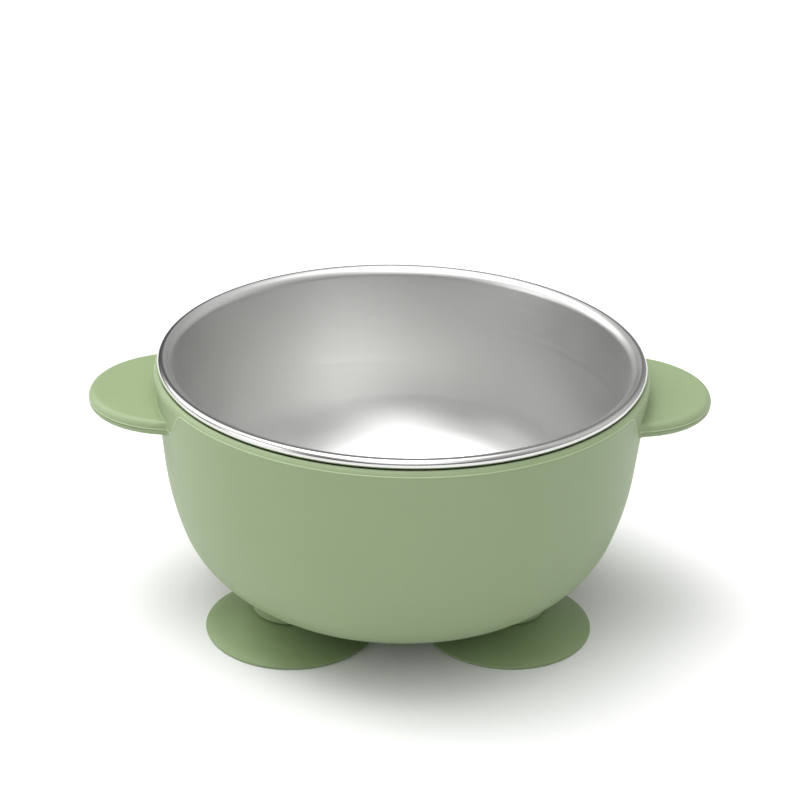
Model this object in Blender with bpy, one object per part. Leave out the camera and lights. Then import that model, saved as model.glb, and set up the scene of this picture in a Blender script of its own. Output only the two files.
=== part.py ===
"""Suction bowl: a steel liner in an eared plastic shell that stands on three plug-in suction cups.

Units are metres and +Z is up. The origin is on the bowl's axis, at table level.
Run with: blender --background --python part.py
"""

import math

import bmesh
import bpy
from mathutils import Matrix, Vector

MM = 0.001
GAP = 0.3 * MM  # clearance between pieces that touch

# How finely round shapes are divided
BOWL_SEGMENTS = 52
EAR_SEGMENTS = 40
CUP_SEGMENTS = 28
SOCKET_SEGMENTS = 24

# Rim curl of the liner: a tube-like ring that hangs on the shell's lip
RIM_RADIUS = 65.0 * MM
CURL_RADIUS = 1.28 * MM
CURL_HEIGHT = 72.82 * MM
CURL_END_ANGLE = -105.0
SHEET = 0.55 * MM
CURL_CENTRE = (RIM_RADIUS - CURL_RADIUS, CURL_HEIGHT)
# Wider bend that leads from the wall into the curl's top
LEAD_RADIUS = 2.8 * MM
LEAD_CENTRE = (CURL_CENTRE[0], CURL_HEIGHT + CURL_RADIUS - LEAD_RADIUS)

# Walls of both bowls lean outwards by the same draft
WALL_DRAFT = 5.66

# Inside of the liner: flat floor, corner arc, gently curved side, straight wall
LINER_FLOOR = 16.8 * MM
LINER_CORNER_RADIUS = 25.0 * MM
LINER_SIDE_RADIUS = 75.0 * MM
LINER_WALL_FOOT = 46.0 * MM

# Outside of the shell: flat bottom, corner arc, side arc, straight wall, rounded shoulder
SHELL_WALL = 2.2 * MM
SHELL_BOTTOM = 8.63 * MM
SHELL_CORNER_RADIUS = 28.31 * MM
SHELL_SIDE_RADIUS = 78.97 * MM
SHELL_CORNER_ANGLE = 19.23
SHELL_WALL_FOOT = (63.645 * MM, 45.84 * MM)
SHOULDER_RADIUS = 2.2 * MM
SHOULDER_HEIGHT = 69.7 * MM
SHOULDER_END_ANGLE = 58.0
SEAT_START_ANGLE = -48.0
SEAT_END_ANGLE = -86.0

# Ears: flat round discs that grow out of the wall
EAR_RADIUS = 23.05 * MM
EAR_OFFSET = 60.5 * MM
EAR_TOP = 63.8 * MM
EAR_THICKNESS = 3.85 * MM
EAR_TOP_ROUND = 2.0 * MM
EAR_UNDER_ROUND = 1.0 * MM

# Foot bosses under the shell, each with a blind socket, evenly spaced round the axis
FOOT_CIRCLE = 33.84 * MM
FOOT_ANGLES = {"left": 210.0, "right": 330.0, "rear": 90.0}
BOSS_RADIUS = 10.5 * MM
BOSS_FACE = 6.0 * MM
BOSS_ROOF = 15.8 * MM
SOCKET_RADIUS = 6.6 * MM
SOCKET_MOUTH_RADIUS = 7.2 * MM
SOCKET_CHAMFER = 0.6 * MM
SOCKET_TOP = 14.2 * MM

# Suction cups: a low skirt that bends down to a flat lip, and a ribbed plug stem
CUP_RADIUS = 23.28 * MM
CUP_EDGE_ROUND = 0.45 * MM
SKIRT_BEND_RADIUS = 20.0 * MM
SKIRT_EDGE_ANGLE = 60.0
SKIRT_TOP_ANGLE = 70.0
SKIRT_THICKNESS = 1.9 * MM
CUP_HOLLOW_HEIGHT = 3.9 * MM
CUP_SHOULDER_RADIUS = 10.5 * MM
STEM_CORE_RADIUS = 5.7 * MM
STEM_TIP_RADIUS = 4.9 * MM
STEM_TIP_CHAMFER = 0.9 * MM
RIB_COUNT = 3
RIB_PITCH = 2.1 * MM
RIB_HALF_HEIGHT = 0.7 * MM
FIRST_RIB_ABOVE_BOSS = 1.9 * MM


def material(name, colour, roughness, metallic=0.0):
    """Make a Principled material from a linear colour."""
    made = bpy.data.materials.new(name)
    made.use_nodes = True
    shader = made.node_tree.nodes["Principled BSDF"]
    shader.inputs["Base Color"].default_value = (*colour, 1.0)
    shader.inputs["Roughness"].default_value = roughness
    shader.inputs["Metallic"].default_value = metallic
    return made


def arc(centre, radius, start, end, steps):
    """Points on an arc in the (radius, height) plane; 0 degrees points outwards and 90 points up."""
    points = []
    for step in range(steps + 1):
        angle = math.radians(start + (end - start) * step / steps)
        points.append((centre[0] + radius * math.cos(angle), centre[1] + radius * math.sin(angle)))
    return points


def turned(name, outline, segments, centre=(0.0, 0.0)):
    """Turn an outline of (radius, height) points round a vertical axis.

    The outline starts and ends on the axis: it runs out along the lower surface and back along the upper one.
    """
    mesh = bmesh.new()
    start = mesh.verts.new((centre[0], centre[1], outline[0][1]))
    end = mesh.verts.new((centre[0], centre[1], outline[-1][1]))
    rings = []
    for radius, height in outline[1:-1]:
        ring = []
        for segment in range(segments):
            angle = 2.0 * math.pi * segment / segments
            x = centre[0] + radius * math.cos(angle)
            y = centre[1] + radius * math.sin(angle)
            ring.append(mesh.verts.new((x, y, height)))
        rings.append(ring)
    for segment in range(segments):
        following = (segment + 1) % segments
        mesh.faces.new((start, rings[0][following], rings[0][segment]))
        for lower, upper in zip(rings, rings[1:]):
            mesh.faces.new((lower[segment], lower[following], upper[following], upper[segment]))
        mesh.faces.new((end, rings[-1][segment], rings[-1][following]))
    return finish_object(name, mesh)


def finish_object(name, mesh):
    """Turn a bmesh into a smooth-shaded object with its faces pointing out."""
    bmesh.ops.recalc_face_normals(mesh, faces=mesh.faces)
    data = bpy.data.meshes.new(name)
    mesh.to_mesh(data)
    mesh.free()
    data.shade_smooth()
    data.set_sharp_from_angle(angle=math.radians(35.0))
    made = bpy.data.objects.new(name, data)
    bpy.context.scene.collection.objects.link(made)
    return made


def set_origin(piece, origin):
    """Move a piece's origin to a point without moving its shape."""
    piece.data.transform(Matrix.Translation(-Vector(origin)))
    piece.location = origin


def add_boolean(piece, tool, operation):
    """Join a tool to a piece, or cut it away, and keep the tool out of the model."""
    tool.hide_render = True
    tool.display_type = "WIRE"
    step = piece.modifiers.new(tool.name, "BOOLEAN")
    step.operation = operation
    step.solver = "EXACT"
    step.object = tool


def foot_centre(angle):
    """Plan position of a foot, from its angle round the bowl's axis."""
    turn = math.radians(angle)
    return (FOOT_CIRCLE * math.cos(turn), FOOT_CIRCLE * math.sin(turn))


def liner_surface(offset, corner_steps, side_steps):
    """Arcs of the liner from its floor to its straight wall, moved outwards by an offset."""
    draft = math.radians(WALL_DRAFT)
    wall_top_radius = LEAD_CENTRE[0] - LEAD_RADIUS * math.cos(draft)
    wall_top_height = LEAD_CENTRE[1] + LEAD_RADIUS * math.sin(draft)
    foot_radius = wall_top_radius - (wall_top_height - LINER_WALL_FOOT) * math.tan(draft)
    side_centre = (
        foot_radius - LINER_SIDE_RADIUS * math.cos(draft),
        LINER_WALL_FOOT + LINER_SIDE_RADIUS * math.sin(draft),
    )
    corner_height = LINER_FLOOR + LINER_CORNER_RADIUS
    rise = side_centre[1] - corner_height
    reach = math.sqrt((LINER_SIDE_RADIUS - LINER_CORNER_RADIUS) ** 2 - rise**2)
    corner_centre = (side_centre[0] + reach, corner_height)
    turn = -math.degrees(math.atan2(rise, reach))
    corner = arc(corner_centre, LINER_CORNER_RADIUS + offset, -90.0, turn, corner_steps)
    side = arc(side_centre, LINER_SIDE_RADIUS + offset, turn, -WALL_DRAFT, side_steps)
    return corner + side[1:]


def make_liner():
    """Pressed steel liner: one sheet from the floor up the wall and round the open curl."""
    inside = liner_surface(0.0, corner_steps=6, side_steps=3)
    outside = liner_surface(SHEET, corner_steps=5, side_steps=3)
    lead_start = 180.0 - WALL_DRAFT
    curl_outside = arc(LEAD_CENTRE, LEAD_RADIUS, lead_start, 90.0, 5)
    curl_outside += arc(CURL_CENTRE, CURL_RADIUS, 90.0, CURL_END_ANGLE, 8)[1:]
    curl_inside = arc(LEAD_CENTRE, LEAD_RADIUS - SHEET, lead_start, 90.0, 4)
    curl_inside += arc(CURL_CENTRE, CURL_RADIUS - SHEET, 90.0, CURL_END_ANGLE, 5)[1:]
    outline = [(0.0, LINER_FLOOR - SHEET)] + outside
    outline += curl_inside + curl_outside[::-1]
    outline += inside[::-1] + [(0.0, LINER_FLOOR)]
    return turned("inner_bowl", outline, BOWL_SEGMENTS)


def shell_surface(offset, corner_steps, side_steps):
    """Arcs of the shell from its bottom to its straight wall, moved inwards by an offset."""
    draft = math.radians(WALL_DRAFT)
    foot_radius, foot_height = SHELL_WALL_FOOT
    side_centre = (
        foot_radius - SHELL_SIDE_RADIUS * math.cos(draft),
        foot_height + SHELL_SIDE_RADIUS * math.sin(draft),
    )
    turn = math.radians(SHELL_CORNER_ANGLE)
    reach = SHELL_SIDE_RADIUS - SHELL_CORNER_RADIUS
    corner_centre = (
        side_centre[0] + reach * math.cos(turn),
        side_centre[1] - reach * math.sin(turn),
    )
    corner = arc(corner_centre, SHELL_CORNER_RADIUS - offset, -90.0, -SHELL_CORNER_ANGLE, corner_steps)
    side = arc(side_centre, SHELL_SIDE_RADIUS - offset, -SHELL_CORNER_ANGLE, -WALL_DRAFT, side_steps)
    return corner + side[1:]


def wall_radius(height, offset=0.0):
    """Radius of the shell's straight wall at a height, moved inwards by an offset."""
    draft = math.radians(WALL_DRAFT)
    foot_radius, foot_height = SHELL_WALL_FOOT
    return foot_radius + (height - foot_height) * math.tan(draft) - offset / math.cos(draft)


def make_shell_blank():
    """Outer turned form of the shell, still solid inside, with a seat that clears the liner's curl."""
    shoulder_centre = (wall_radius(SHOULDER_HEIGHT, SHOULDER_RADIUS), SHOULDER_HEIGHT)
    shoulder = arc(shoulder_centre, SHOULDER_RADIUS, -WALL_DRAFT, SHOULDER_END_ANGLE, 5)
    seat = arc(CURL_CENTRE, CURL_RADIUS + GAP, SEAT_START_ANGLE, SEAT_END_ANGLE, 3)
    outline = [(0.0, SHELL_BOTTOM)] + shell_surface(0.0, corner_steps=7, side_steps=3)
    outline += shoulder + seat + [(0.0, seat[-1][1])]
    return turned("outer_shell", outline, BOWL_SEGMENTS)


def make_cavity():
    """Space inside the shell's wall, open at the top."""
    inside = shell_surface(SHELL_WALL, corner_steps=6, side_steps=3)
    outline = [(0.0, SHELL_BOTTOM + SHELL_WALL)] + inside
    outline += [(wall_radius(CURL_HEIGHT, SHELL_WALL), CURL_HEIGHT), (0.0, CURL_HEIGHT)]
    return turned("shell_cavity", outline, BOWL_SEGMENTS)


def make_ear(side):
    """Flat disc with rounded edges; side is -1 for the left ear and 1 for the right one."""
    top = arc((EAR_RADIUS - EAR_TOP_ROUND, EAR_TOP - EAR_TOP_ROUND), EAR_TOP_ROUND, 0.0, 90.0, 3)
    under_height = EAR_TOP - EAR_THICKNESS
    under_centre = (EAR_RADIUS - EAR_UNDER_ROUND, under_height + EAR_UNDER_ROUND)
    under = arc(under_centre, EAR_UNDER_ROUND, -90.0, 0.0, 2)
    outline = [(0.0, under_height)] + under + top + [(0.0, EAR_TOP)]
    name = "ear_left" if side < 0 else "ear_right"
    return turned(name, outline, EAR_SEGMENTS, (side * EAR_OFFSET, 0.0))


def make_boss(name, centre):
    """Round foot boss that stands inside the shell as a tower over its socket."""
    outline = [(0.0, BOSS_FACE), (BOSS_RADIUS, BOSS_FACE), (BOSS_RADIUS, BOSS_ROOF), (0.0, BOSS_ROOF)]
    return turned("boss_" + name, outline, CUP_SEGMENTS, centre)


def make_socket(name, centre):
    """Blind socket for a cup's plug, with a chamfered mouth."""
    below = BOSS_FACE - SOCKET_CHAMFER
    flare = SOCKET_MOUTH_RADIUS + SOCKET_CHAMFER
    outline = [(0.0, below), (flare, below), (SOCKET_RADIUS, BOSS_FACE + SOCKET_CHAMFER)]
    outline += [(SOCKET_RADIUS, SOCKET_TOP), (0.0, SOCKET_TOP)]
    return turned("socket_" + name, outline, SOCKET_SEGMENTS, centre)


def make_shell():
    """Shell with its ears, foot bosses and sockets as one moulding."""
    shell = make_shell_blank()
    for side in (-1, 1):
        add_boolean(shell, make_ear(side), "UNION")
    add_boolean(shell, make_cavity(), "DIFFERENCE")
    for name, angle in FOOT_ANGLES.items():
        add_boolean(shell, make_boss(name, foot_centre(angle)), "UNION")
        add_boolean(shell, make_socket(name, foot_centre(angle)), "DIFFERENCE")
    return shell


def dome(rim_radius, rim_height, top_radius, top_height, steps):
    """Points on a sphere whose centre is on the axis, through a rim point and a top point, rim first."""
    low = rim_radius**2 + rim_height**2
    high = top_radius**2 + top_height**2
    centre_height = (low - high) / (2.0 * (rim_height - top_height))
    radius = math.hypot(rim_radius, rim_height - centre_height)
    start = math.degrees(math.atan2(rim_height - centre_height, rim_radius))
    end = math.degrees(math.atan2(top_height - centre_height, top_radius))
    return arc((0.0, centre_height), radius, start, end, steps)


def stem_outline(foot):
    """Side of the plug stem from its foot to its tip, with rounded-off retaining ribs."""
    crest = SOCKET_RADIUS - GAP
    points = [(STEM_CORE_RADIUS, foot)]
    for rib in range(RIB_COUNT):
        height = BOSS_FACE + FIRST_RIB_ABOVE_BOSS + rib * RIB_PITCH
        points.append((STEM_CORE_RADIUS, height - RIB_HALF_HEIGHT))
        points.append((crest, height))
        points.append((STEM_CORE_RADIUS, height + RIB_HALF_HEIGHT))
    tip = SOCKET_TOP - GAP
    points.append((STEM_CORE_RADIUS, tip - STEM_TIP_CHAMFER))
    points.append((STEM_TIP_RADIUS, tip))
    return points


def make_cup(name, centre):
    """Soft suction cup: hollow skirt, flat lip on the table, gently sloping top and plug stem."""
    shoulder_height = BOSS_FACE - GAP
    edge_centre = (CUP_RADIUS - CUP_EDGE_ROUND, CUP_EDGE_ROUND)
    edge = arc(edge_centre, CUP_EDGE_ROUND, -90.0, SKIRT_EDGE_ANGLE, 4)
    edge_turn = math.radians(SKIRT_EDGE_ANGLE)
    bend_centre = (
        edge[-1][0] - SKIRT_BEND_RADIUS * math.cos(edge_turn),
        edge[-1][1] - SKIRT_BEND_RADIUS * math.sin(edge_turn),
    )
    top = arc(bend_centre, SKIRT_BEND_RADIUS, SKIRT_EDGE_ANGLE, SKIRT_TOP_ANGLE, 3)[1:]
    top += [(CUP_SHOULDER_RADIUS, shoulder_height)]
    inner_bend = SKIRT_BEND_RADIUS - SKIRT_THICKNESS
    lip_angle = math.degrees(math.asin(-bend_centre[1] / inner_bend))
    hollow = arc(bend_centre, inner_bend, lip_angle, SKIRT_TOP_ANGLE, 1)
    hollow += dome(*hollow[-1], 0.0, CUP_HOLLOW_HEIGHT, 4)[1:]
    outline = hollow[::-1] + edge + top + stem_outline(shoulder_height)
    outline += [(0.0, SOCKET_TOP - GAP)]
    cup = turned("suction_cup_" + name, outline, CUP_SEGMENTS, centre)
    set_origin(cup, (centre[0], centre[1], shoulder_height))
    return cup


def build():
    """Build the whole bowl in an empty scene."""
    for old in list(bpy.data.objects):
        bpy.data.objects.remove(old)

    steel = material("satin_steel", (0.60, 0.60, 0.58), roughness=0.28, metallic=1.0)
    plastic = material("green_plastic", (0.29, 0.36, 0.21), roughness=0.5)

    liner = make_liner()
    set_origin(liner, (0.0, 0.0, LINER_FLOOR))
    liner.data.materials.append(steel)
    make_shell().data.materials.append(plastic)
    for name, angle in FOOT_ANGLES.items():
        soft = material("soft_rubber_" + name, (0.16, 0.22, 0.10), roughness=0.55)
        make_cup(name, foot_centre(angle)).data.materials.append(soft)


build()
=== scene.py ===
"""Looks of the suction bowl: a satin steel liner, a matte green shell with two ears, and three soft cups.

Everything is in metres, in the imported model's frame: +Z up, the origin on the bowl's axis at table level.
"""

import math

import bmesh
import bpy
import numpy as np
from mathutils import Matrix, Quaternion, Vector, geometry


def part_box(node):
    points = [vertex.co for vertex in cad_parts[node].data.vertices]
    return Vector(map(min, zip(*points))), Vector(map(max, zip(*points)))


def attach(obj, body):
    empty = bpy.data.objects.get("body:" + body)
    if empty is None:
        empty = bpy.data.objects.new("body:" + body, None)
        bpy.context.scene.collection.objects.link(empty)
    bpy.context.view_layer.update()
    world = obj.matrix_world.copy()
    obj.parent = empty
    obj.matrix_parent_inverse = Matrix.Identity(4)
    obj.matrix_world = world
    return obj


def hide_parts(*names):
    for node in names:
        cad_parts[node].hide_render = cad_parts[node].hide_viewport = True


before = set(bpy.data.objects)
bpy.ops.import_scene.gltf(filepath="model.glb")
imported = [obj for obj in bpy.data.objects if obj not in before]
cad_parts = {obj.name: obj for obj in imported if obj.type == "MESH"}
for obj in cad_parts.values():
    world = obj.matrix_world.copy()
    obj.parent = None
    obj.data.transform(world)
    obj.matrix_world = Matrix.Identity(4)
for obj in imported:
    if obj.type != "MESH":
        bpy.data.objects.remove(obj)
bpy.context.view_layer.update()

MM = 0.001
GAP = 0.3 * MM  # clearance between pieces that touch
MERGE_DISTANCE = 0.5e-6  # points of one mesh closer than this are one point
TINY = 1e-9  # small enough to stand for zero

liner_low, liner_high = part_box("inner_bowl")
shell_low, shell_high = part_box("outer_shell")
cup_boxes = {side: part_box("suction_cup_" + side) for side in ("left", "right", "rear")}
foot_centres = {
    side: ((low.x + high.x) / 2.0, (low.y + high.y) / 2.0) for side, (low, high) in cup_boxes.items()
}

# Fineness of round shapes
LINER_SEGMENTS = 288
CUP_SEGMENTS = 168
FOOT_SEGMENTS = 64

# Edges sharper than these, in degrees, stay crisp in the shading
TURNED_SHARP_ANGLE = 40.0
SHELL_SHARP_ANGLE = 32.0
SEAM_SHARP_ANGLE = 60.0

# Liner: the rim curl, the leaning wall, the side and corner arcs and the flat floor
SHEET = 0.55 * MM
CURL_RADIUS = 1.28 * MM
CURL_CENTRE = (liner_high.x - CURL_RADIUS, liner_high.z - CURL_RADIUS)
CURL_END_ANGLE = -105.0
LEAD_RADIUS = 2.8 * MM
LEAD_CENTRE = (CURL_CENTRE[0], liner_high.z - LEAD_RADIUS)
WALL_DRAFT = 5.66
LINER_FLOOR = liner_low.z + SHEET
LINER_CORNER_RADIUS = 25.0 * MM
LINER_SIDE_RADIUS = 75.0 * MM
LINER_WALL_FOOT = 46.0 * MM

# Shell: flat bottom, corner arc, side arc, leaning wall, rounded shoulder and the seat of the curl
SHELL_WALL = 2.2 * MM
SHELL_CORNER_RADIUS = 28.31 * MM
SHELL_SIDE_RADIUS = 78.97 * MM
SHELL_CORNER_ANGLE = 19.23
SHELL_WALL_FOOT = (63.645 * MM, 45.84 * MM)
SHOULDER_RADIUS = 2.2 * MM
SHOULDER_HEIGHT = 69.7 * MM
SHOULDER_END_ANGLE = 56.0
SEAT_START_ANGLE = -50.0
SEAT_END_ANGLE = -86.0

# Ears: flat discs with a rounded top edge, a fillet at the root and a fillet in plan beside it
SEAM_PROUD = 0.08 * MM  # height of the mould line's ridge, which the ears leave room for
EAR_RADIUS = 23.05 * MM
EAR_OFFSET = shell_high.x - EAR_RADIUS - SEAM_PROUD
EAR_TOP = 63.8 * MM
EAR_THICKNESS = 3.85 * MM
EAR_UNDER = EAR_TOP - EAR_THICKNESS
EAR_TOP_ROUND = 2.0 * MM
EAR_UNDER_ROUND = 1.0 * MM
EAR_TOP_FILLET = 0.5 * MM
EAR_UNDER_FILLET = 0.5 * MM
EAR_PLAN_FILLET = 1.2 * MM
EAR_MIDDLE_ANGLE = 16.0  # where the columns on an ear change their spacing
EAR_BLEND = 2.0 * MM  # how far an ear stands out before its edge is fully upright

# Foot bosses and the sockets in them
BOSS_RADIUS = 10.5 * MM
BOSS_FACE = 6.0 * MM
BOSS_ROOF = 15.8 * MM
BOSS_EDGE_ROUND = 0.4 * MM
BOSS_FILLET_REACH = 1.5 * MM
BOSS_FILLET_RISE = 1.2 * MM
TOWER_FILLET = 1.0 * MM
TOWER_EDGE_ROUND = 0.5 * MM
SOCKET_RADIUS = 6.6 * MM
SOCKET_MOUTH_RADIUS = 7.2 * MM
SOCKET_CHAMFER = 0.6 * MM
SOCKET_TOP = 14.2 * MM
OUTER_JOIN_RADIUS = 52.0 * MM
INNER_JOIN_RADIUS = 50.0 * MM
BOTTOM_SPACING = 1.9 * MM  # between the points that fill the shell's bottom

# Suction cups
CUP_RADIUS = 23.28 * MM
CUP_EDGE_ROUND = 0.45 * MM
SKIRT_BEND_RADIUS = 20.0 * MM
SKIRT_EDGE_ANGLE = 60.0
SKIRT_TOP_ANGLE = 70.0
SKIRT_THICKNESS = 1.9 * MM
CUP_HOLLOW_HEIGHT = 3.9 * MM
CUP_SHOULDER_RADIUS = 10.5 * MM
STEM_CORE_RADIUS = 5.7 * MM
STEM_TIP_RADIUS = 4.9 * MM
STEM_TIP_CHAMFER = 0.9 * MM
RIB_COUNT = 3
RIB_PITCH = 2.1 * MM
RIB_HALF_HEIGHT = 0.7 * MM
FIRST_RIB_ABOVE_BOSS = 1.9 * MM

# Mould parting line: a fine ridge over a groove on the ears, climbing to the rim between them
SEAM_EAR_HEIGHT = EAR_TOP - EAR_TOP_ROUND
SEAM_RIM_HEIGHT = 70.34 * MM
SEAM_WIDTH = 0.3 * MM
SEAM_CLIMB_START = 0.5
SEAM_CLIMB_END = 9.4
SEAM_FINE_REACH = 10.0  # degrees either side of an ear's root where the line has more points
GROOVE_DEPTH = 0.2 * MM
GROOVE_FOOT = 0.42 * MM  # this and the next three: how far below the line the groove's corners are
GROOVE_FLOOR_LOW = 0.36 * MM
GROOVE_FLOOR_HIGH = 0.16 * MM
GROOVE_TOP = 0.1 * MM


# ---------------------------------------------------------------- outlines in the (radius, height) plane


def eased(share):
    """Smooth step of a share between 0 and 1."""
    return share * share * (3.0 - 2.0 * share)


def arc(centre, radius, start, end, steps):
    """Points on an arc; 0 degrees points outwards and 90 points up."""
    turns = np.radians(np.linspace(start, end, steps + 1))
    return [(centre[0] + radius * math.cos(t), centre[1] + radius * math.sin(t)) for t in turns]


def line(start, end, steps):
    """Evenly spaced points on a straight line, both ends included."""
    shares = np.linspace(0.0, 1.0, steps + 1)
    return [(start[0] + (end[0] - start[0]) * s, start[1] + (end[1] - start[1]) * s) for s in shares]


def liner_surface(offset, corner_steps, side_steps):
    """Arcs of the liner from its floor to its straight wall, moved outwards by an offset."""
    draft = math.radians(WALL_DRAFT)
    wall_top_radius = LEAD_CENTRE[0] - LEAD_RADIUS * math.cos(draft)
    wall_top_height = LEAD_CENTRE[1] + LEAD_RADIUS * math.sin(draft)
    foot_radius = wall_top_radius - (wall_top_height - LINER_WALL_FOOT) * math.tan(draft)
    side_centre = (
        foot_radius - LINER_SIDE_RADIUS * math.cos(draft),
        LINER_WALL_FOOT + LINER_SIDE_RADIUS * math.sin(draft),
    )
    corner_height = LINER_FLOOR + LINER_CORNER_RADIUS
    rise = side_centre[1] - corner_height
    reach = math.sqrt((LINER_SIDE_RADIUS - LINER_CORNER_RADIUS) ** 2 - rise**2)
    corner_centre = (side_centre[0] + reach, corner_height)
    turn = -math.degrees(math.atan2(rise, reach))
    corner = arc(corner_centre, LINER_CORNER_RADIUS + offset, -90.0, turn, corner_steps)
    side = arc(side_centre, LINER_SIDE_RADIUS + offset, turn, -WALL_DRAFT, side_steps)
    return corner + side[1:]


def shell_arc_centres():
    """Centres of the shell's side arc and corner arc."""
    draft = math.radians(WALL_DRAFT)
    turn = math.radians(SHELL_CORNER_ANGLE)
    side = (
        SHELL_WALL_FOOT[0] - SHELL_SIDE_RADIUS * math.cos(draft),
        SHELL_WALL_FOOT[1] + SHELL_SIDE_RADIUS * math.sin(draft),
    )
    reach = SHELL_SIDE_RADIUS - SHELL_CORNER_RADIUS
    return side, (side[0] + reach * math.cos(turn), side[1] - reach * math.sin(turn))


def shell_surface(offset, join_radius, corner_steps, side_steps):
    """Arcs of the shell from a radius on its corner to its straight wall, moved inwards by an offset."""
    side_centre, corner_centre = shell_arc_centres()
    radius = SHELL_CORNER_RADIUS - offset
    start = -math.degrees(math.acos((join_radius - corner_centre[0]) / radius))
    corner = arc(corner_centre, radius, start, -SHELL_CORNER_ANGLE, corner_steps)
    side = arc(side_centre, SHELL_SIDE_RADIUS - offset, -SHELL_CORNER_ANGLE, -WALL_DRAFT, side_steps)
    return corner + side[1:]


def bottom_height(x, y, offset):
    """Height of the shell's bottom, outside or moved inwards by an offset, over points in plan."""
    _, centre = shell_arc_centres()
    radius = SHELL_CORNER_RADIUS - offset
    beyond = np.maximum(np.hypot(x, y) - centre[0], 0.0)
    return centre[1] - np.sqrt(radius**2 - beyond**2)


def wall_radius(height, offset=0.0):
    """Radius of the shell's straight wall at a height, moved inwards by an offset."""
    draft = math.radians(WALL_DRAFT)
    return SHELL_WALL_FOOT[0] + (height - SHELL_WALL_FOOT[1]) * math.tan(draft) - offset / math.cos(draft)


def shoulder_centre():
    """Centre of the rounding that ends the shell's wall under the rim."""
    return wall_radius(SHOULDER_HEIGHT, SHOULDER_RADIUS), SHOULDER_HEIGHT


def outside_radius(height):
    """Radius of the shell's outside on its wall and on the shoulder above it."""
    rise = height - SHOULDER_HEIGHT
    if rise < -SHOULDER_RADIUS * math.sin(math.radians(WALL_DRAFT)):
        return wall_radius(height)
    return shoulder_centre()[0] + math.sqrt(SHOULDER_RADIUS**2 - rise**2)


def ear_wall():
    """Radius of the shell's wall halfway up the ears."""
    return wall_radius((EAR_TOP + EAR_UNDER) / 2.0)


def dome(rim_radius, rim_height, top_height, steps):
    """Points on a sphere round the axis, from a rim point up to its top on the axis."""
    rise = top_height - rim_height
    radius = (rim_radius**2 + rise**2) / (2.0 * rise)
    start = math.degrees(math.atan2(radius - rise, rim_radius))
    return arc((0.0, top_height - radius), radius, start, 90.0, steps)


# ---------------------------------------------------------------- meshes


class Body:
    """A mesh built from rings of points."""

    def __init__(self):
        self.points = []
        self.faces = []

    def ring(self, points):
        """Add points and return their indices."""
        first = len(self.points)
        self.points.extend(tuple(map(float, p)) for p in points)
        return list(range(first, len(self.points)))

    def bridge(self, below, above):
        """Join two rings with as many points each by quads."""
        count = len(below)
        for i in range(count):
            j = (i + 1) % count
            self.faces.append((below[i], below[j], above[j], above[i]))

    def close(self, ring, centre, upwards):
        """Close a ring with a fan round a centre point."""
        middle = self.ring([centre])[0]
        count = len(ring)
        for i in range(count):
            j = (i + 1) % count
            self.faces.append((ring[i], ring[j], middle) if upwards else (ring[j], ring[i], middle))

    def make(self, name, sharp_angle):
        """Turn it into a smooth-shaded object with its faces pointing out."""
        data = bpy.data.meshes.new(name)
        data.from_pydata(self.points, [], self.faces)
        mesh = bmesh.new()
        mesh.from_mesh(data)
        bmesh.ops.remove_doubles(mesh, verts=mesh.verts, dist=MERGE_DISTANCE)
        bmesh.ops.recalc_face_normals(mesh, faces=mesh.faces)
        mesh.to_mesh(data)
        mesh.free()
        data.shade_smooth()
        data.set_sharp_from_angle(angle=math.radians(sharp_angle))
        made = bpy.data.objects.new(name, data)
        bpy.context.scene.collection.objects.link(made)
        return made


def circle(radius, height, segments, centre=(0.0, 0.0)):
    """Points on a level circle."""
    turns = np.arange(segments) * (2.0 * math.pi / segments)
    x = centre[0] + radius * np.cos(turns)
    y = centre[1] + radius * np.sin(turns)
    return np.column_stack([x, y, np.full(segments, height)])


def turned(name, outline, segments, centre=(0.0, 0.0)):
    """Turn an outline that starts and ends on the axis: out along the underside, back along the top."""
    body = Body()
    rings = [body.ring(circle(radius, height, segments, centre)) for radius, height in outline[1:-1]]
    for below, above in zip(rings, rings[1:]):
        body.bridge(below, above)
    body.close(rings[0], (centre[0], centre[1], outline[0][1]), upwards=False)
    body.close(rings[-1], (centre[0], centre[1], outline[-1][1]), upwards=True)
    return body.make(name, TURNED_SHARP_ANGLE)


# ---------------------------------------------------------------- liner


def make_liner():
    """Pressed steel liner with its open rolled curl."""
    lead_start = 180.0 - WALL_DRAFT
    inside = liner_surface(0.0, corner_steps=40, side_steps=16)
    outside = liner_surface(SHEET, corner_steps=32, side_steps=12)
    curl_outside = arc(LEAD_CENTRE, LEAD_RADIUS, lead_start, 90.0, 28)
    curl_outside += arc(CURL_CENTRE, CURL_RADIUS, 90.0, CURL_END_ANGLE, 44)[1:]
    curl_inside = arc(LEAD_CENTRE, LEAD_RADIUS - SHEET, lead_start, 90.0, 14)
    curl_inside += arc(CURL_CENTRE, CURL_RADIUS - SHEET, 90.0, CURL_END_ANGLE, 24)[1:]
    wall_inside = line(inside[-1], curl_outside[0], 12)
    wall_outside = line(outside[-1], curl_inside[0], 8)
    floor_inside = line((0.0, LINER_FLOOR), inside[0], 14)
    floor_outside = line((0.0, LINER_FLOOR - SHEET), outside[0], 10)
    outline = floor_outside + outside[1:] + wall_outside[1:] + curl_inside[1:]
    outline += curl_outside[::-1] + wall_inside[-2::-1] + inside[-2::-1] + floor_inside[-2::-1]
    return turned("inner_bowl_steel", outline, LINER_SEGMENTS)


# ---------------------------------------------------------------- shell


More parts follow.
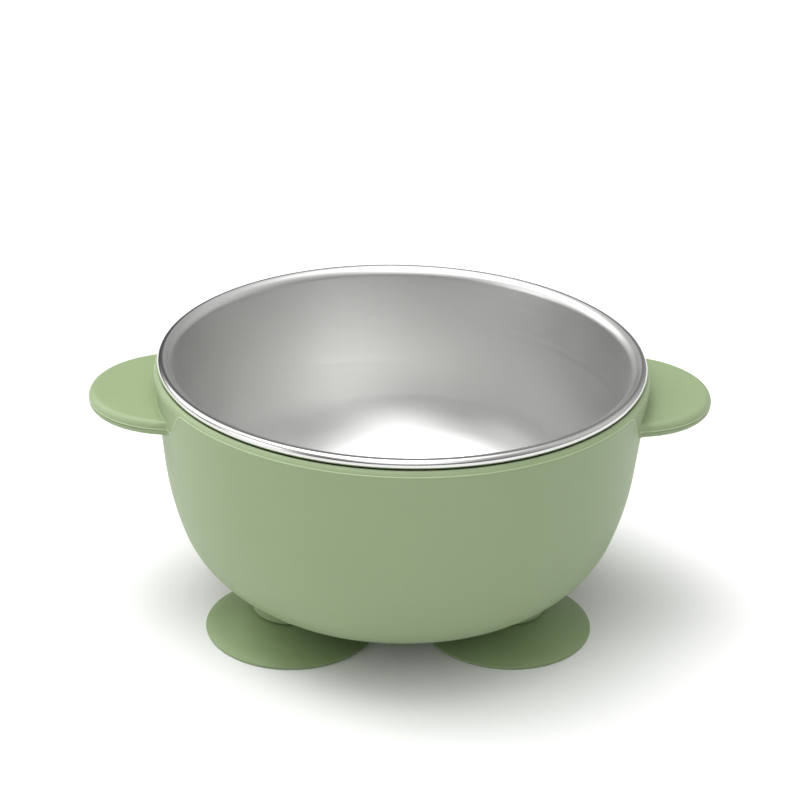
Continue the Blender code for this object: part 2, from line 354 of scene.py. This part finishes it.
def ear_limits():
    """Angles where an ear's edge and its plan fillet end, and how far out the fillet's centre is."""
    distance = ear_wall() + EAR_PLAN_FILLET
    reach = EAR_RADIUS + EAR_PLAN_FILLET
    cosine = (distance**2 + EAR_OFFSET**2 - reach**2) / (2.0 * distance * EAR_OFFSET)
    fillet_turn = math.acos(cosine)
    fillet = (distance * math.cos(fillet_turn), distance * math.sin(fillet_turn))
    touch_x = EAR_OFFSET + (fillet[0] - EAR_OFFSET) * EAR_RADIUS / reach
    touch_y = fillet[1] * EAR_RADIUS / reach
    return math.atan2(touch_y, touch_x), fillet_turn, distance


def from_ear(turn):
    """Angle from the middle of the nearest ear."""
    return abs(math.remainder(turn, math.pi))


def ear_edge(turn):
    """How far an ear stands out from the wall at an angle, and how squarely its edge is cut there."""
    wall = ear_wall()
    edge_end, fillet_turn, distance = ear_limits()
    away = from_ear(turn)
    if away >= fillet_turn:
        return 0.0, 1.0
    if away <= edge_end:
        chord = math.sqrt(EAR_RADIUS**2 - (EAR_OFFSET * math.sin(away)) ** 2)
        return EAR_OFFSET * math.cos(away) + chord - wall, chord / EAR_RADIUS
    chord = math.sqrt(max(EAR_PLAN_FILLET**2 - (distance * math.sin(fillet_turn - away)) ** 2, 0.0))
    return distance * math.cos(fillet_turn - away) - chord - wall, chord / EAR_PLAN_FILLET


def shell_turns():
    """Angles of the shell's columns: even all round, and closer together at the roots of the ears."""
    edge_end, fillet_turn, _ = ear_limits()
    ear_middle = math.radians(EAR_MIDDLE_ANGLE)
    quarter = list(np.linspace(0.0, ear_middle, 15)[:-1])
    quarter += list(np.linspace(ear_middle, edge_end, 12)[:-1])
    quarter += list(np.linspace(edge_end, fillet_turn, 14)[:-1])
    quarter += list(np.linspace(fillet_turn, math.pi / 2.0, 50))
    half = quarter + [math.pi - t for t in quarter[-2:0:-1]]
    return np.array(half + [math.pi + t for t in half])


def shell_rows(turns):
    """Rows of (radii, height) from the corner up the outside, over the rim and down the inside."""
    out, square = np.array([ear_edge(t) for t in turns]).T
    rows = []

    def add(height, beyond=0.0):
        """Add a row at a height; beyond is how far it stands out from the wall."""
        upright = eased(np.clip(out / EAR_BLEND, 0.0, 1.0) * (np.asarray(beyond) > 0.0))
        share = np.clip(np.asarray(beyond) / np.maximum(out, TINY), 0.0, 1.0)
        base = wall_radius(height) + (ear_wall() - wall_radius(height)) * upright * share
        rows.append((base + beyond, np.full(len(turns), height)))

    def add_turned(points):
        """Add rows that are round all the way, one for each point of an outline."""
        for radius, height in points:
            rows.append((np.full(len(turns), radius), np.full(len(turns), height)))

    def fits(fillet, rounding):
        """Radial reach of a fillet and of an edge rounding, shrunk where the ear barely stands out."""
        scale = np.minimum(1.0, out / (fillet + rounding / square))
        return fillet * scale, rounding / square * scale

    add_turned(shell_surface(0.0, OUTER_JOIN_RADIUS, corner_steps=18, side_steps=14))
    for height in np.linspace(SHELL_WALL_FOOT[1], EAR_UNDER - EAR_UNDER_FILLET, 9)[1:-1]:
        add(height)
    fillet, rounding = fits(EAR_UNDER_FILLET, EAR_UNDER_ROUND)
    for turn in np.radians(np.linspace(0.0, 90.0, 6)):
        add(EAR_UNDER - EAR_UNDER_FILLET * (1.0 - math.sin(turn)), fillet * (1.0 - math.cos(turn)))
    for share in np.linspace(0.0, 1.0, 9)[1:-1]:
        add(EAR_UNDER, fillet + (out - rounding - fillet) * share)
    for turn in np.radians(np.linspace(0.0, 90.0, 6)):
        add(EAR_UNDER + EAR_UNDER_ROUND * (1.0 - math.cos(turn)), out - rounding * (1.0 - math.sin(turn)))
    groove = out - GROOVE_DEPTH * np.clip(out / EAR_BLEND, 0.0, 1.0)
    add(SEAM_EAR_HEIGHT - GROOVE_FOOT, out)
    add(SEAM_EAR_HEIGHT - GROOVE_FLOOR_LOW, groove)
    add(SEAM_EAR_HEIGHT - GROOVE_FLOOR_HIGH, groove)
    add(SEAM_EAR_HEIGHT - GROOVE_TOP, out)
    fillet, rounding = fits(EAR_TOP_FILLET, EAR_TOP_ROUND)
    for turn in np.radians(np.linspace(0.0, 90.0, 9)):
        add(EAR_TOP - EAR_TOP_ROUND * (1.0 - math.sin(turn)), out - rounding * (1.0 - math.cos(turn)))
    for share in np.linspace(1.0, 0.0, 9)[1:-1]:
        add(EAR_TOP, fillet + (out - rounding - fillet) * share)
    for turn in np.radians(np.linspace(90.0, 0.0, 8)):
        add(EAR_TOP + EAR_TOP_FILLET * (1.0 - math.sin(turn)), fillet * (1.0 - math.cos(turn)))

    shoulder = arc(shoulder_centre(), SHOULDER_RADIUS, -WALL_DRAFT, SHOULDER_END_ANGLE, 12)
    for height in np.linspace(EAR_TOP + EAR_TOP_FILLET, shoulder[0][1], 7)[1:-1]:
        add(height)
    seat = arc(CURL_CENTRE, CURL_RADIUS + GAP, SEAT_START_ANGLE, SEAT_END_ANGLE, 8)
    add_turned(shoulder + seat)
    inner_top = wall_radius(seat[-1][1], SHELL_WALL)
    inside = shell_surface(SHELL_WALL, INNER_JOIN_RADIUS, corner_steps=14, side_steps=10)
    add_turned(line((inner_top, seat[-1][1]), inside[-1], 10)[:-1] + inside[::-1])
    return rows


def near_foot(x, y):
    """Distance in plan to the nearest foot's centre."""
    return min(math.hypot(x - fx, y - fy) for fx, fy in foot_centres.values())


def bottom_circle(radius, centre, offset, lift=0.0):
    """Circle in plan round a foot, laid on the shell's bottom and lifted off it."""
    points = circle(radius, lift, FOOT_SEGMENTS, centre)
    points[:, 2] += bottom_height(points[:, 0], points[:, 1], offset)
    return points


def grow(body, previous, points):
    """Add a ring of points, join it to the ring before it, and return it."""
    ring = body.ring(points)
    body.bridge(previous, ring)
    return ring


def floor_patch(body, rim, join_radius, offset, hole_radius, upwards):
    """Fill the shell's bottom inside a rim ring, except for round holes at the feet; returns their rings."""
    holes = [body.ring(bottom_circle(hole_radius, centre, offset)) for centre in foot_centres.values()]
    reach = join_radius - 0.55 * BOTTOM_SPACING
    clearance = hole_radius + 0.5 * BOTTOM_SPACING
    inner = []
    count = int(join_radius / BOTTOM_SPACING) + 1
    for row in range(-count, count + 1):
        for column in range(-count, count + 1):
            x = (column + 0.5 * (row % 2)) * BOTTOM_SPACING
            y = row * BOTTOM_SPACING * math.sqrt(0.75)
            if math.hypot(x, y) < reach and near_foot(x, y) > clearance:
                inner.append((x, y))
    grid = np.array(inner)
    inner_ring = body.ring(np.column_stack([grid, bottom_height(grid[:, 0], grid[:, 1], offset)]))
    known = rim + sum(holes, []) + inner_ring
    flat = [Vector(body.points[i][:2]) for i in known]
    edges, first = [], 0
    for ring in [rim] + holes:
        edges += [(first + i, first + (i + 1) % len(ring)) for i in range(len(ring))]
        first += len(ring)
    _, _, triangles, source, _, _ = geometry.delaunay_2d_cdt(flat, edges, [], 0, TINY)
    for triangle in triangles:
        corners = [known[source[i][0]] for i in triangle]
        x, y = np.mean([body.points[i][:2] for i in corners], axis=0)
        if near_foot(x, y) > hole_radius * 0.999:
            body.faces.append(tuple(corners) if upwards else tuple(corners[::-1]))
    return holes


def add_foot(body, hole, centre):
    """Outer foot boss with its blind socket, grown from a hole's ring in the shell's outside."""
    previous = hole
    for turn in np.radians(np.linspace(0.0, 90.0, 7))[1:]:
        radius = BOSS_RADIUS + BOSS_FILLET_REACH * (1.0 - math.sin(turn))
        drop = BOSS_FILLET_RISE * (1.0 - math.cos(turn))
        previous = grow(body, previous, bottom_circle(radius, centre, 0.0, -drop))
    edge_centre = (BOSS_RADIUS - BOSS_EDGE_ROUND, BOSS_FACE + BOSS_EDGE_ROUND)
    outline = arc(edge_centre, BOSS_EDGE_ROUND, 0.0, -90.0, 4)
    outline += [(SOCKET_MOUTH_RADIUS, BOSS_FACE), (SOCKET_RADIUS, BOSS_FACE + SOCKET_CHAMFER)]
    outline += line((SOCKET_RADIUS, BOSS_FACE + 2.0 * SOCKET_CHAMFER), (SOCKET_RADIUS, SOCKET_TOP), 3)
    for radius, height in outline:
        previous = grow(body, previous, circle(radius, height, FOOT_SEGMENTS, centre))
    body.close(previous, (centre[0], centre[1], SOCKET_TOP), upwards=True)


def add_tower(body, hole, centre):
    """Closed tower over a socket, inside the shell."""
    previous = hole
    for turn in np.radians(np.linspace(0.0, 90.0, 6))[1:]:
        radius = BOSS_RADIUS + TOWER_FILLET * (1.0 - math.sin(turn))
        lift = TOWER_FILLET * (1.0 - math.cos(turn))
        previous = grow(body, previous, bottom_circle(radius, centre, SHELL_WALL, lift))
    edge_centre = (BOSS_RADIUS - TOWER_EDGE_ROUND, BOSS_ROOF - TOWER_EDGE_ROUND)
    for radius, height in arc(edge_centre, TOWER_EDGE_ROUND, 0.0, 90.0, 4):
        previous = grow(body, previous, circle(radius, height, FOOT_SEGMENTS, centre))
    body.close(previous, (centre[0], centre[1], BOSS_ROOF), upwards=True)


def make_shell():
    """Shell with ears, rim shoulder, foot bosses and sockets as one closed moulding."""
    body = Body()
    turns = shell_turns()
    rings = []
    for radii, heights in shell_rows(turns):
        points = np.column_stack([radii * np.cos(turns), radii * np.sin(turns), heights])
        rings.append(body.ring(points))
    for below, above in zip(rings, rings[1:]):
        body.bridge(below, above)
    outer = floor_patch(body, rings[0], OUTER_JOIN_RADIUS, 0.0, BOSS_RADIUS + BOSS_FILLET_REACH, False)
    inner = floor_patch(body, rings[-1], INNER_JOIN_RADIUS, SHELL_WALL, BOSS_RADIUS + TOWER_FILLET, True)
    for outer_hole, inner_hole, centre in zip(outer, inner, foot_centres.values()):
        add_foot(body, outer_hole, centre)
        add_tower(body, inner_hole, centre)
    return body.make("outer_shell_moulding", SHELL_SHARP_ANGLE)


def seam_height(turn):
    """Height of the mould line at an angle: on the ear's edge, then up the wall to the rim's shoulder."""
    _, fillet_turn, _ = ear_limits()
    start = fillet_turn + math.radians(SEAM_CLIMB_START)
    end = fillet_turn + math.radians(SEAM_CLIMB_END)
    share = eased(min(max((from_ear(turn) - start) / (end - start), 0.0), 1.0))
    return SEAM_EAR_HEIGHT + (SEAM_RIM_HEIGHT - SEAM_EAR_HEIGHT) * share


def make_seam():
    """Fine raised line that the two halves of the mould leave on the shell."""
    turns = []
    columns = shell_turns()
    for start, end in zip(columns, list(columns[1:]) + [columns[0] + 2.0 * math.pi]):
        beside_ear = abs(from_ear(start) - ear_limits()[1]) < math.radians(SEAM_FINE_REACH)
        pieces = 4 if beside_ear else 1
        turns += list(np.linspace(start, end, pieces + 1)[:-1])
    path = []
    for turn in turns:
        height = seam_height(turn)
        stands_out = ear_edge(turn)[0]
        base = outside_radius(height)
        radius = base + (ear_wall() - base) * eased(min(stands_out / EAR_BLEND, 1.0)) + stands_out
        path.append((radius * math.cos(turn), radius * math.sin(turn), height))
    path = np.array(path)
    along = np.roll(path, -1, axis=0) - np.roll(path, 1, axis=0)
    along /= np.linalg.norm(along, axis=1)[:, None]
    flat = np.column_stack([along[:, 1], -along[:, 0], np.zeros(len(path))])
    radial = np.column_stack([path[:, 0], path[:, 1], np.zeros(len(path))])
    radial /= np.linalg.norm(radial, axis=1)[:, None]
    level = np.hypot(along[:, 0], along[:, 1])[:, None]
    flat = flat / np.maximum(np.linalg.norm(flat, axis=1)[:, None], TINY)
    outward = flat * level + radial * (1.0 - level)
    outward /= np.linalg.norm(outward, axis=1)[:, None]
    across = np.cross(outward, along)
    # Across the line in widths and out from the shell in heights; its edges sink into the shell
    body = Body()
    section = [(-0.5, -0.4), (-0.45, 0.35), (-0.2, 0.9), (0.0, 1.0), (0.2, 0.9), (0.45, 0.35), (0.5, -0.4)]
    rings = []
    for side, rise in section:
        rings.append(body.ring(path + across * side * SEAM_WIDTH + outward * rise * SEAM_PROUD))
    for below, above in zip(rings, rings[1:] + rings[:1]):
        body.bridge(below, above)
    return body.make("shell_mould_line", SEAM_SHARP_ANGLE)


# ---------------------------------------------------------------- suction cups


def stem_outline(foot):
    """Side of the plug stem from its foot to its tip, with rounded retaining ribs."""
    crest = SOCKET_RADIUS - GAP
    points = [(STEM_CORE_RADIUS, foot)]
    for rib in range(RIB_COUNT):
        middle = BOSS_FACE + FIRST_RIB_ABOVE_BOSS + rib * RIB_PITCH
        for share in np.linspace(-1.0, 1.0, 11):
            swell = 0.5 * (1.0 + math.cos(math.pi * share))
            radius = STEM_CORE_RADIUS + (crest - STEM_CORE_RADIUS) * swell
            points.append((radius, middle + RIB_HALF_HEIGHT * share))
    tip = SOCKET_TOP - GAP
    points += arc((STEM_TIP_RADIUS, tip - STEM_TIP_CHAMFER), STEM_CORE_RADIUS - STEM_TIP_RADIUS, 0.0, 90.0, 5)
    return points


def make_cup(side):
    """Soft suction cup with its hollow skirt, lip and plug stem."""
    shoulder = BOSS_FACE - GAP
    edge_centre = (CUP_RADIUS - CUP_EDGE_ROUND, CUP_EDGE_ROUND)
    edge = arc(edge_centre, CUP_EDGE_ROUND, -90.0, SKIRT_EDGE_ANGLE, 10)
    edge_turn = math.radians(SKIRT_EDGE_ANGLE)
    bend = (
        edge[-1][0] - SKIRT_BEND_RADIUS * math.cos(edge_turn),
        edge[-1][1] - SKIRT_BEND_RADIUS * math.sin(edge_turn),
    )
    top = arc(bend, SKIRT_BEND_RADIUS, SKIRT_EDGE_ANGLE, SKIRT_TOP_ANGLE, 12)[1:]
    inner_bend = SKIRT_BEND_RADIUS - SKIRT_THICKNESS
    lip_angle = math.degrees(math.asin(-bend[1] / inner_bend))
    hollow = arc(bend, inner_bend, lip_angle, SKIRT_TOP_ANGLE, 4)
    hollow += dome(*hollow[-1], CUP_HOLLOW_HEIGHT, 20)[1:]
    slope_end = (CUP_SHOULDER_RADIUS, shoulder)
    top += line(top[-1], slope_end, 10)[1:]
    collar = line(slope_end, (STEM_CORE_RADIUS, shoulder), 3)[1:-1]
    outline = hollow[::-1] + edge + top + collar + stem_outline(shoulder)
    outline += [(0.0, SOCKET_TOP - GAP)]
    return turned(f"suction_cup_{side}_soft", outline, CUP_SEGMENTS, foot_centres[side])


# ---------------------------------------------------------------- materials


class Nodes:
    """Short way to build a node tree."""

    def __init__(self, tree):
        self.tree = tree

    def add(self, kind, inputs=(), **settings):
        """Add a node, set its settings, and link or set its inputs."""
        node = self.tree.nodes.new(kind)
        for name, value in settings.items():
            setattr(node, name, value)
        for name, value in dict(inputs).items():
            self.feed(node.inputs[name], value)
        return node

    def feed(self, socket, value):
        """Link a socket to another, or set its value."""
        if isinstance(value, bpy.types.NodeSocket):
            self.tree.links.new(value, socket)
        else:
            socket.default_value = value

    def math(self, first, second, operation="ADD"):
        """A Math node's result: the sum, unless another operation is given."""
        return self.add("ShaderNodeMath", {0: first, 1: second}, operation=operation).outputs[0]

    def ramp(self, value, low, high, start, end):
        """Map a value's range smoothly to another one, clamped."""
        inputs = {"Value": value, "From Min": low, "From Max": high, "To Min": start, "To Max": end}
        return self.add("ShaderNodeMapRange", inputs, interpolation_type="SMOOTHSTEP").outputs["Result"]

    def noise(self, place, scale, detail, roughness):
        """A noise texture's value."""
        inputs = {"Vector": place, "Scale": scale, "Detail": detail, "Roughness": roughness}
        return self.add("ShaderNodeTexNoise", inputs).outputs["Fac"]

    def bump(self, height, distance, strength, normal=None):
        """A Bump node's normal."""
        inputs = {"Height": height, "Distance": distance, "Strength": strength}
        if normal is not None:
            inputs["Normal"] = normal
        return self.add("ShaderNodeBump", inputs).outputs["Normal"]


def new_material(name):
    """An empty Principled material with its node helper, its shader and its object coordinates."""
    made = bpy.data.materials.new(name)
    made.use_nodes = True
    nodes = Nodes(made.node_tree)
    shader = made.node_tree.nodes["Principled BSDF"]
    place = nodes.add("ShaderNodeTexCoord").outputs["Object"]
    return made, nodes, shader, place


def tint(nodes, share, low, high):
    """Mix two colours by a share."""
    mix = nodes.add("ShaderNodeMix", data_type="RGBA")
    nodes.feed(mix.inputs[0], share)
    nodes.feed(mix.inputs[6], (*low, 1.0))
    nodes.feed(mix.inputs[7], (*high, 1.0))
    return mix.outputs[2]


STEEL_COLOUR = (0.66, 0.66, 0.65)
STEEL_DARK = (0.635, 0.635, 0.625)
STEEL_SATIN = 0.39
STEEL_POLISH = 0.11
POLISH_RADII = (CURL_CENTRE[0] - 0.5 * MM, CURL_CENTRE[0] + 0.2 * MM)
POLISH_HEIGHTS = (CURL_CENTRE[1] - 2.2 * MM, CURL_CENTRE[1] - 1.4 * MM)
STEEL_LINE_SCALE = 900.0  # rings left by spinning
STEEL_CLOUD_SCALE = 38.0


def steel_material():
    """Satin spun steel that turns to a polish on the outer half of the rim's curl."""
    made, nodes, shader, place = new_material("liner_steel")
    parts = nodes.add("ShaderNodeSeparateXYZ", {"Vector": place})
    x, y, z = (parts.outputs[i] for i in range(3))
    squares = nodes.math(nodes.math(x, x, "MULTIPLY"), nodes.math(y, y, "MULTIPLY"))
    radius = nodes.math(squares, 0.5, "POWER")
    spun = nodes.add("ShaderNodeCombineXYZ", {"X": radius, "Z": z}).outputs["Vector"]
    outer = nodes.ramp(radius, *POLISH_RADII, 0.0, 1.0)
    upper = nodes.ramp(z, *POLISH_HEIGHTS, 0.0, 1.0)
    polish = nodes.math(outer, upper, "MULTIPLY")
    lines = nodes.noise(spun, STEEL_LINE_SCALE, 3.0, 0.6)
    cloud = nodes.noise(place, STEEL_CLOUD_SCALE, 4.0, 0.5)
    satin = nodes.math(nodes.ramp(lines, 0.3, 0.7, -0.02, 0.02), nodes.ramp(cloud, 0.3, 0.7, -0.015, 0.015))
    satin = nodes.math(satin, STEEL_SATIN)
    rough = nodes.add("ShaderNodeMix", {0: polish, 2: satin, 3: STEEL_POLISH}, data_type="FLOAT")
    nodes.feed(shader.inputs["Roughness"], rough.outputs[0])
    stain = nodes.math(nodes.ramp(cloud, 0.25, 0.75, 0.0, 0.7), nodes.ramp(lines, 0.3, 0.7, 0.0, 0.3))
    nodes.feed(shader.inputs["Base Color"], tint(nodes, stain, STEEL_DARK, STEEL_COLOUR))
    shader.inputs["Metallic"].default_value = 1.0
    return made


PLASTIC_COLOUR = (0.242, 0.312, 0.168)
PLASTIC_DARK = (0.231, 0.300, 0.160)
# Mould line colours: paler than the shell, a painted highlight for the light the fine ridge catches
SEAM_HIGHLIGHT_COLOUR = (0.40, 0.49, 0.29)
SEAM_HIGHLIGHT_DARK = (0.37, 0.46, 0.27)
PLASTIC_CLOUD_SCALE = 26.0
PLASTIC_GRAIN_SCALE = 5200.0
PLASTIC_PEEL_SCALE = 420.0


def plastic_material(name, dark, pale):
    """Matte moulded plastic with a fine grain and faint handling marks."""
    made, nodes, shader, place = new_material(name)
    cloud = nodes.noise(place, PLASTIC_CLOUD_SCALE, 4.0, 0.5)
    grain = nodes.noise(place, PLASTIC_GRAIN_SCALE, 2.0, 0.6)
    peel = nodes.noise(place, PLASTIC_PEEL_SCALE, 2.0, 0.5)
    share = nodes.ramp(cloud, 0.3, 0.7, 0.0, 1.0)
    nodes.feed(shader.inputs["Base Color"], tint(nodes, share, dark, pale))
    rough = nodes.math(nodes.ramp(grain, 0.3, 0.7, 0.44, 0.50), nodes.ramp(cloud, 0.3, 0.7, -0.03, 0.03))
    nodes.feed(shader.inputs["Roughness"], rough)
    normal = nodes.bump(peel, 0.01 * MM, 0.5)
    nodes.feed(shader.inputs["Normal"], nodes.bump(grain, 0.012 * MM, 0.6, normal))
    shader.inputs["IOR"].default_value = 1.49
    shader.inputs["Subsurface Weight"].default_value = 0.06
    shader.inputs["Subsurface Radius"].default_value = (0.6, 1.0, 0.4)
    shader.inputs["Subsurface Scale"].default_value = 1.2 * MM
    return made


RUBBER_COLOUR = (0.218, 0.293, 0.141)
RUBBER_DARK = (0.204, 0.277, 0.131)
RUBBER_CLOUD_SCALE = 60.0
RUBBER_GRAIN_SCALE = 3600.0


def rubber_material():
    """Soft satin rubber, slightly deeper in colour than the shell."""
    made, nodes, shader, place = new_material("cup_rubber")
    cloud = nodes.noise(place, RUBBER_CLOUD_SCALE, 3.0, 0.5)
    grain = nodes.noise(place, RUBBER_GRAIN_SCALE, 2.0, 0.6)
    share = nodes.ramp(cloud, 0.3, 0.7, 0.0, 1.0)
    nodes.feed(shader.inputs["Base Color"], tint(nodes, share, RUBBER_DARK, RUBBER_COLOUR))
    nodes.feed(shader.inputs["Roughness"], nodes.ramp(cloud, 0.3, 0.7, 0.40, 0.50))
    nodes.feed(shader.inputs["Normal"], nodes.bump(grain, 0.008 * MM, 0.5))
    shader.inputs["IOR"].default_value = 1.45
    shader.inputs["Subsurface Weight"].default_value = 0.1
    shader.inputs["Subsurface Radius"].default_value = (0.7, 1.0, 0.5)
    shader.inputs["Subsurface Scale"].default_value = 1.5 * MM
    return made


FLOOR_COLOUR = (0.79, 0.79, 0.79)
FLOOR_DARK = (0.77, 0.77, 0.77)
FLOOR_CLOUD_SCALE = 3.0


def floor_material():
    """Plain pale table."""
    made, nodes, shader, place = new_material("pale_floor")
    cloud = nodes.noise(place, FLOOR_CLOUD_SCALE, 3.0, 0.5)
    nodes.feed(shader.inputs["Base Color"], tint(nodes, cloud, FLOOR_DARK, FLOOR_COLOUR))
    shader.inputs["Roughness"].default_value = 0.8
    return made


# ---------------------------------------------------------------- stage


CAMERA_PLACE = Vector((-0.02354, -0.47962, 0.28434))
CAMERA_TARGET = Vector((-0.00037, 0.0, 0.05984))
CAMERA_ROLL = 1.477
CAMERA_LENS = 88.59
CAMERA_SENSOR = 36.0
FLOOR_REACH = 3.0
FLOOR_DROP = 0.02 * MM  # the floor lies just under the cups' lips


def make_camera():
    """Camera in front of the bowl, slightly to its left and looking down into it."""
    data = bpy.data.cameras.new("camera")
    data.lens = CAMERA_LENS
    data.sensor_width = CAMERA_SENSOR
    camera = bpy.data.objects.new("camera", data)
    bpy.context.scene.collection.objects.link(camera)
    camera.location = CAMERA_PLACE
    camera.rotation_mode = "QUATERNION"
    aim = (CAMERA_TARGET - CAMERA_PLACE).to_track_quat("-Z", "Y")
    camera.rotation_quaternion = aim @ Quaternion((0.0, 0.0, 1.0), math.radians(CAMERA_ROLL))
    bpy.context.scene.camera = camera


def make_floor():
    """Large pale floor under the cups."""
    body = Body()
    signs = [(-1.0, -1.0), (1.0, -1.0), (1.0, 1.0), (-1.0, 1.0)]
    ring = body.ring([(x * FLOOR_REACH, y * FLOOR_REACH, -FLOOR_DROP) for x, y in signs])
    body.faces.append(tuple(ring))
    floor = body.make("floor", TURNED_SHARP_ANGLE)
    floor.data.materials.append(floor_material())


# Soft studio lights: angle round the bowl from +X, height above the horizon, tightness and strength
BASE_LIGHT = 0.06
OVERHEAD_LIGHT = (165.0, 80.0, 14.0, 8.0)
FRONT_LIGHT = (270.0, 45.0, 14.0, 1.9)
LEFT_LIGHT = (200.0, 15.0, 25.0, 3.0)
BACK_LEFT_LIGHT = (150.0, 30.0, 25.0, 5.0)
RIGHT_FILL = (15.0, 30.0, 3.0, 0.75)


def make_light():
    """Soft studio light: a faint even base and five broad soft lights."""
    world = bpy.data.worlds.new("studio")
    bpy.context.scene.world = world
    world.use_nodes = True
    nodes = Nodes(world.node_tree)
    direction = nodes.add("ShaderNodeTexCoord").outputs["Generated"]
    strength = BASE_LIGHT
    lights = (OVERHEAD_LIGHT, FRONT_LIGHT, LEFT_LIGHT, BACK_LEFT_LIGHT, RIGHT_FILL)
    for around, above, tightness, power in lights:
        turn = math.radians(around)
        lift = math.radians(above)
        toward = (math.cos(lift) * math.cos(turn), math.cos(lift) * math.sin(turn), math.sin(lift))
        facing = nodes.add("ShaderNodeVectorMath", {0: direction, 1: toward}, operation="DOT_PRODUCT")
        away = nodes.math(facing.outputs["Value"], 1.0, "SUBTRACT")
        fall_off = nodes.math(away, tightness, "MULTIPLY")
        spread = nodes.add("ShaderNodeMath", {0: fall_off}, operation="EXPONENT")
        strength = nodes.math(strength, nodes.math(spread.outputs[0], power, "MULTIPLY"))
    background = world.node_tree.nodes["Background"]
    nodes.feed(background.inputs["Strength"], strength)
    background.inputs["Color"].default_value = (1.0, 1.0, 1.0, 1.0)


# ---------------------------------------------------------------- the bowl


def finish_piece(piece, body, node, material):
    """Give a piece its finish, body and place in the frame."""
    piece.data.materials.append(material)
    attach(piece, body)
    if node:
        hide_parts(node)


make_camera()
make_floor()
make_light()

plastic = plastic_material("shell_plastic", PLASTIC_DARK, PLASTIC_COLOUR)
# The mould line's paler plastic is a painted highlight along its ridge
seam_highlight_plastic = plastic_material("mould_line_painted_highlight", SEAM_HIGHLIGHT_DARK, SEAM_HIGHLIGHT_COLOUR)
finish_piece(make_liner(), "liner", "inner_bowl", steel_material())
finish_piece(make_shell(), "shell", "outer_shell", plastic)
finish_piece(make_seam(), "shell", None, seam_highlight_plastic)
rubber = rubber_material()
for side in foot_centres:
    finish_piece(make_cup(side), "cup_" + side, "suction_cup_" + side, rubber)

bpy.context.scene.view_settings.view_transform = "Standard"
